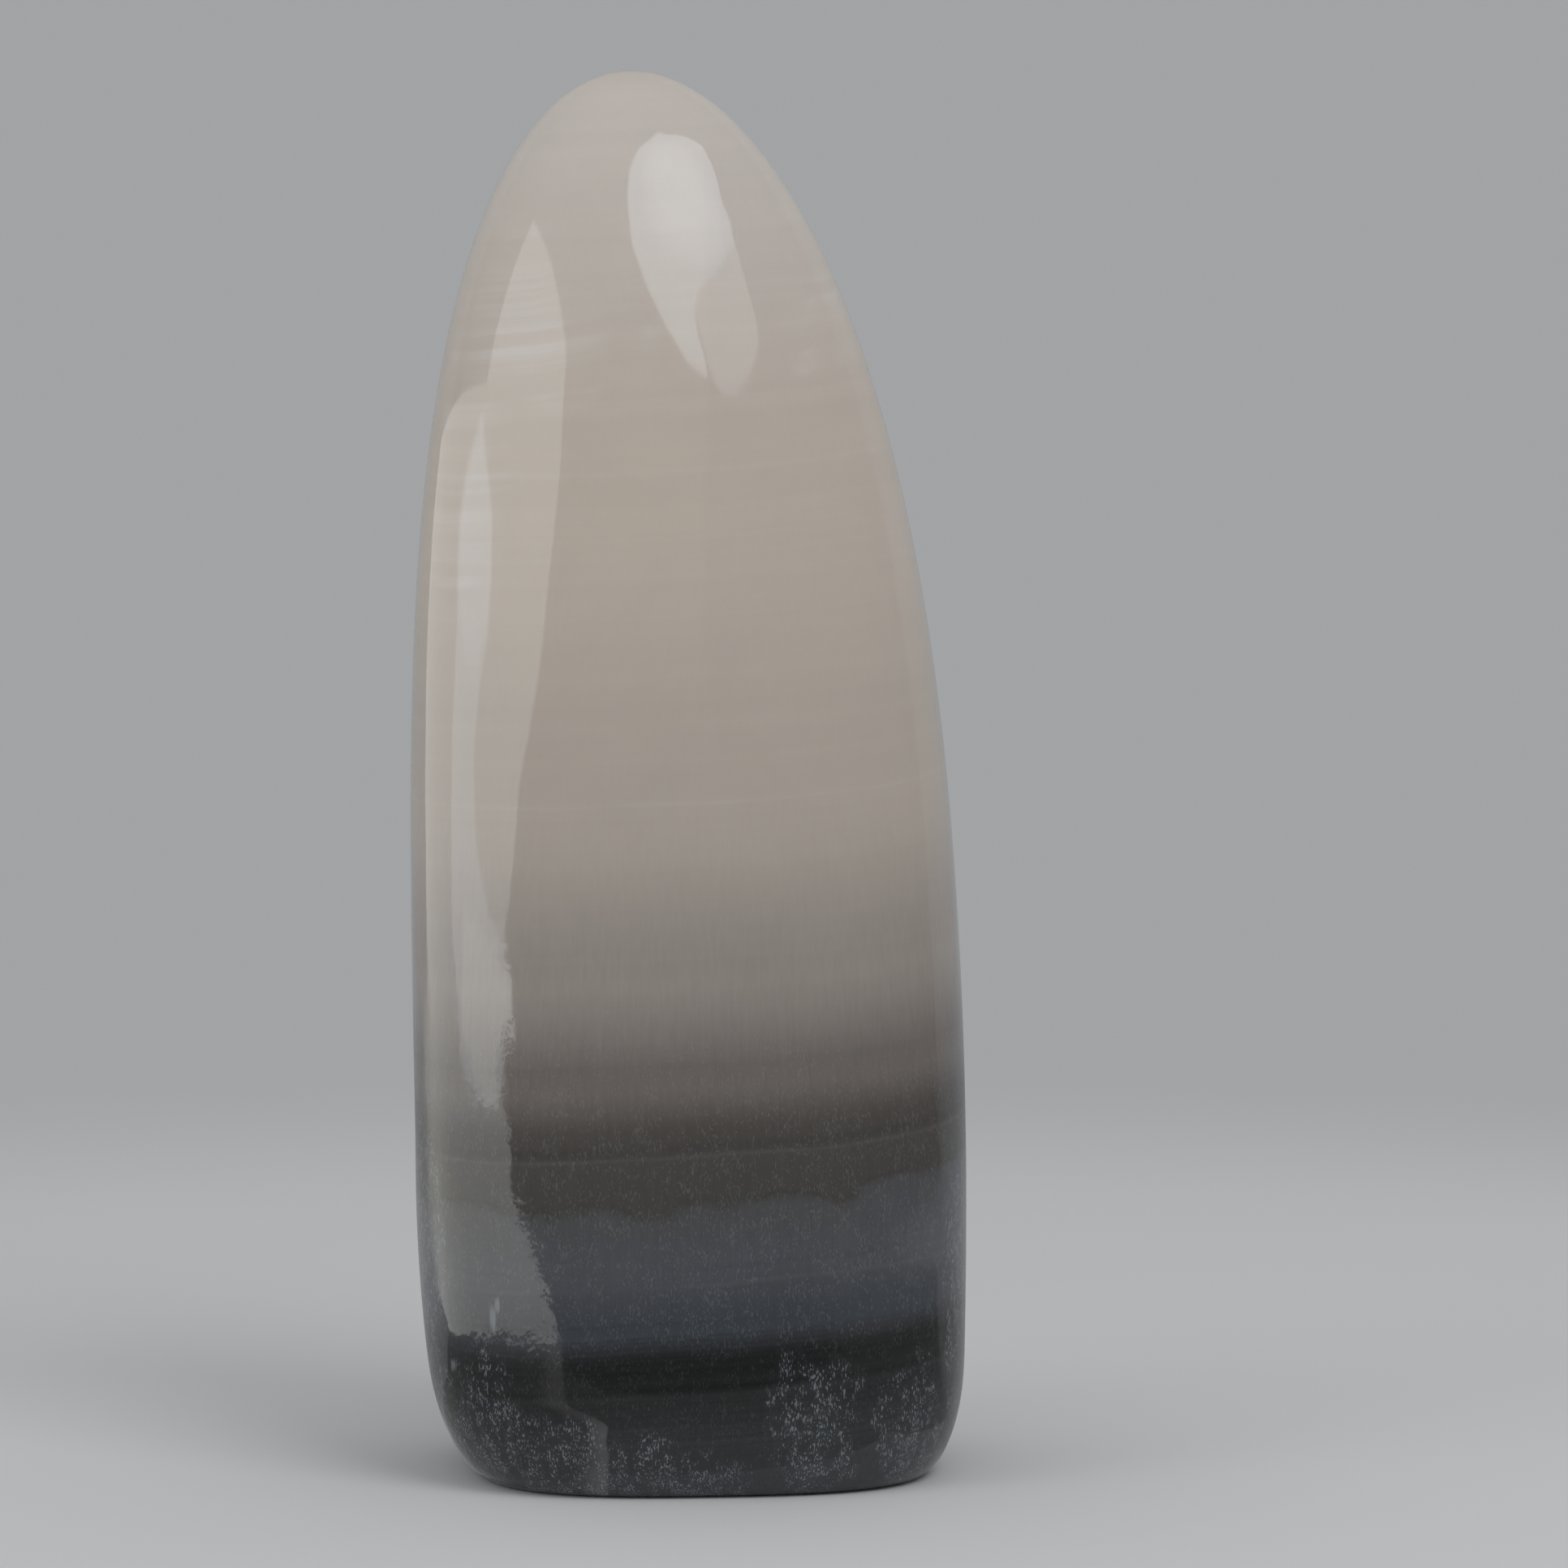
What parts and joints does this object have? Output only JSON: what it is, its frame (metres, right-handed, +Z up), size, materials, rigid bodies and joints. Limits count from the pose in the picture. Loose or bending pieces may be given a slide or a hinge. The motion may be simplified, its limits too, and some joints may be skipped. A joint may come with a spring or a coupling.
{
  "type": "polished calcite freeform",
  "caption": "Tall, rounded, polished stone of banded calcite with a slightly leaning tip, crowned front and back, standing on a flat foot.",
  "frame": {"origin": "on the plane of the flat foot, under the middle of the stone's bounding box", "axes": "+Z up, along the stone's height; +X across the broad front from left to right, so the tip leans towards -X; +Y from the crowned front to the back, through the depth"},
  "size_m": [0.055, 0.0436, 0.138],
  "materials": {
    "calcite": "polished and slightly translucent, cream to pinkish beige above, fading to dark grey at the foot"
  },
  "bodies": {
    "root": {"stone": "calcite"}
  },
  "joints": []
}
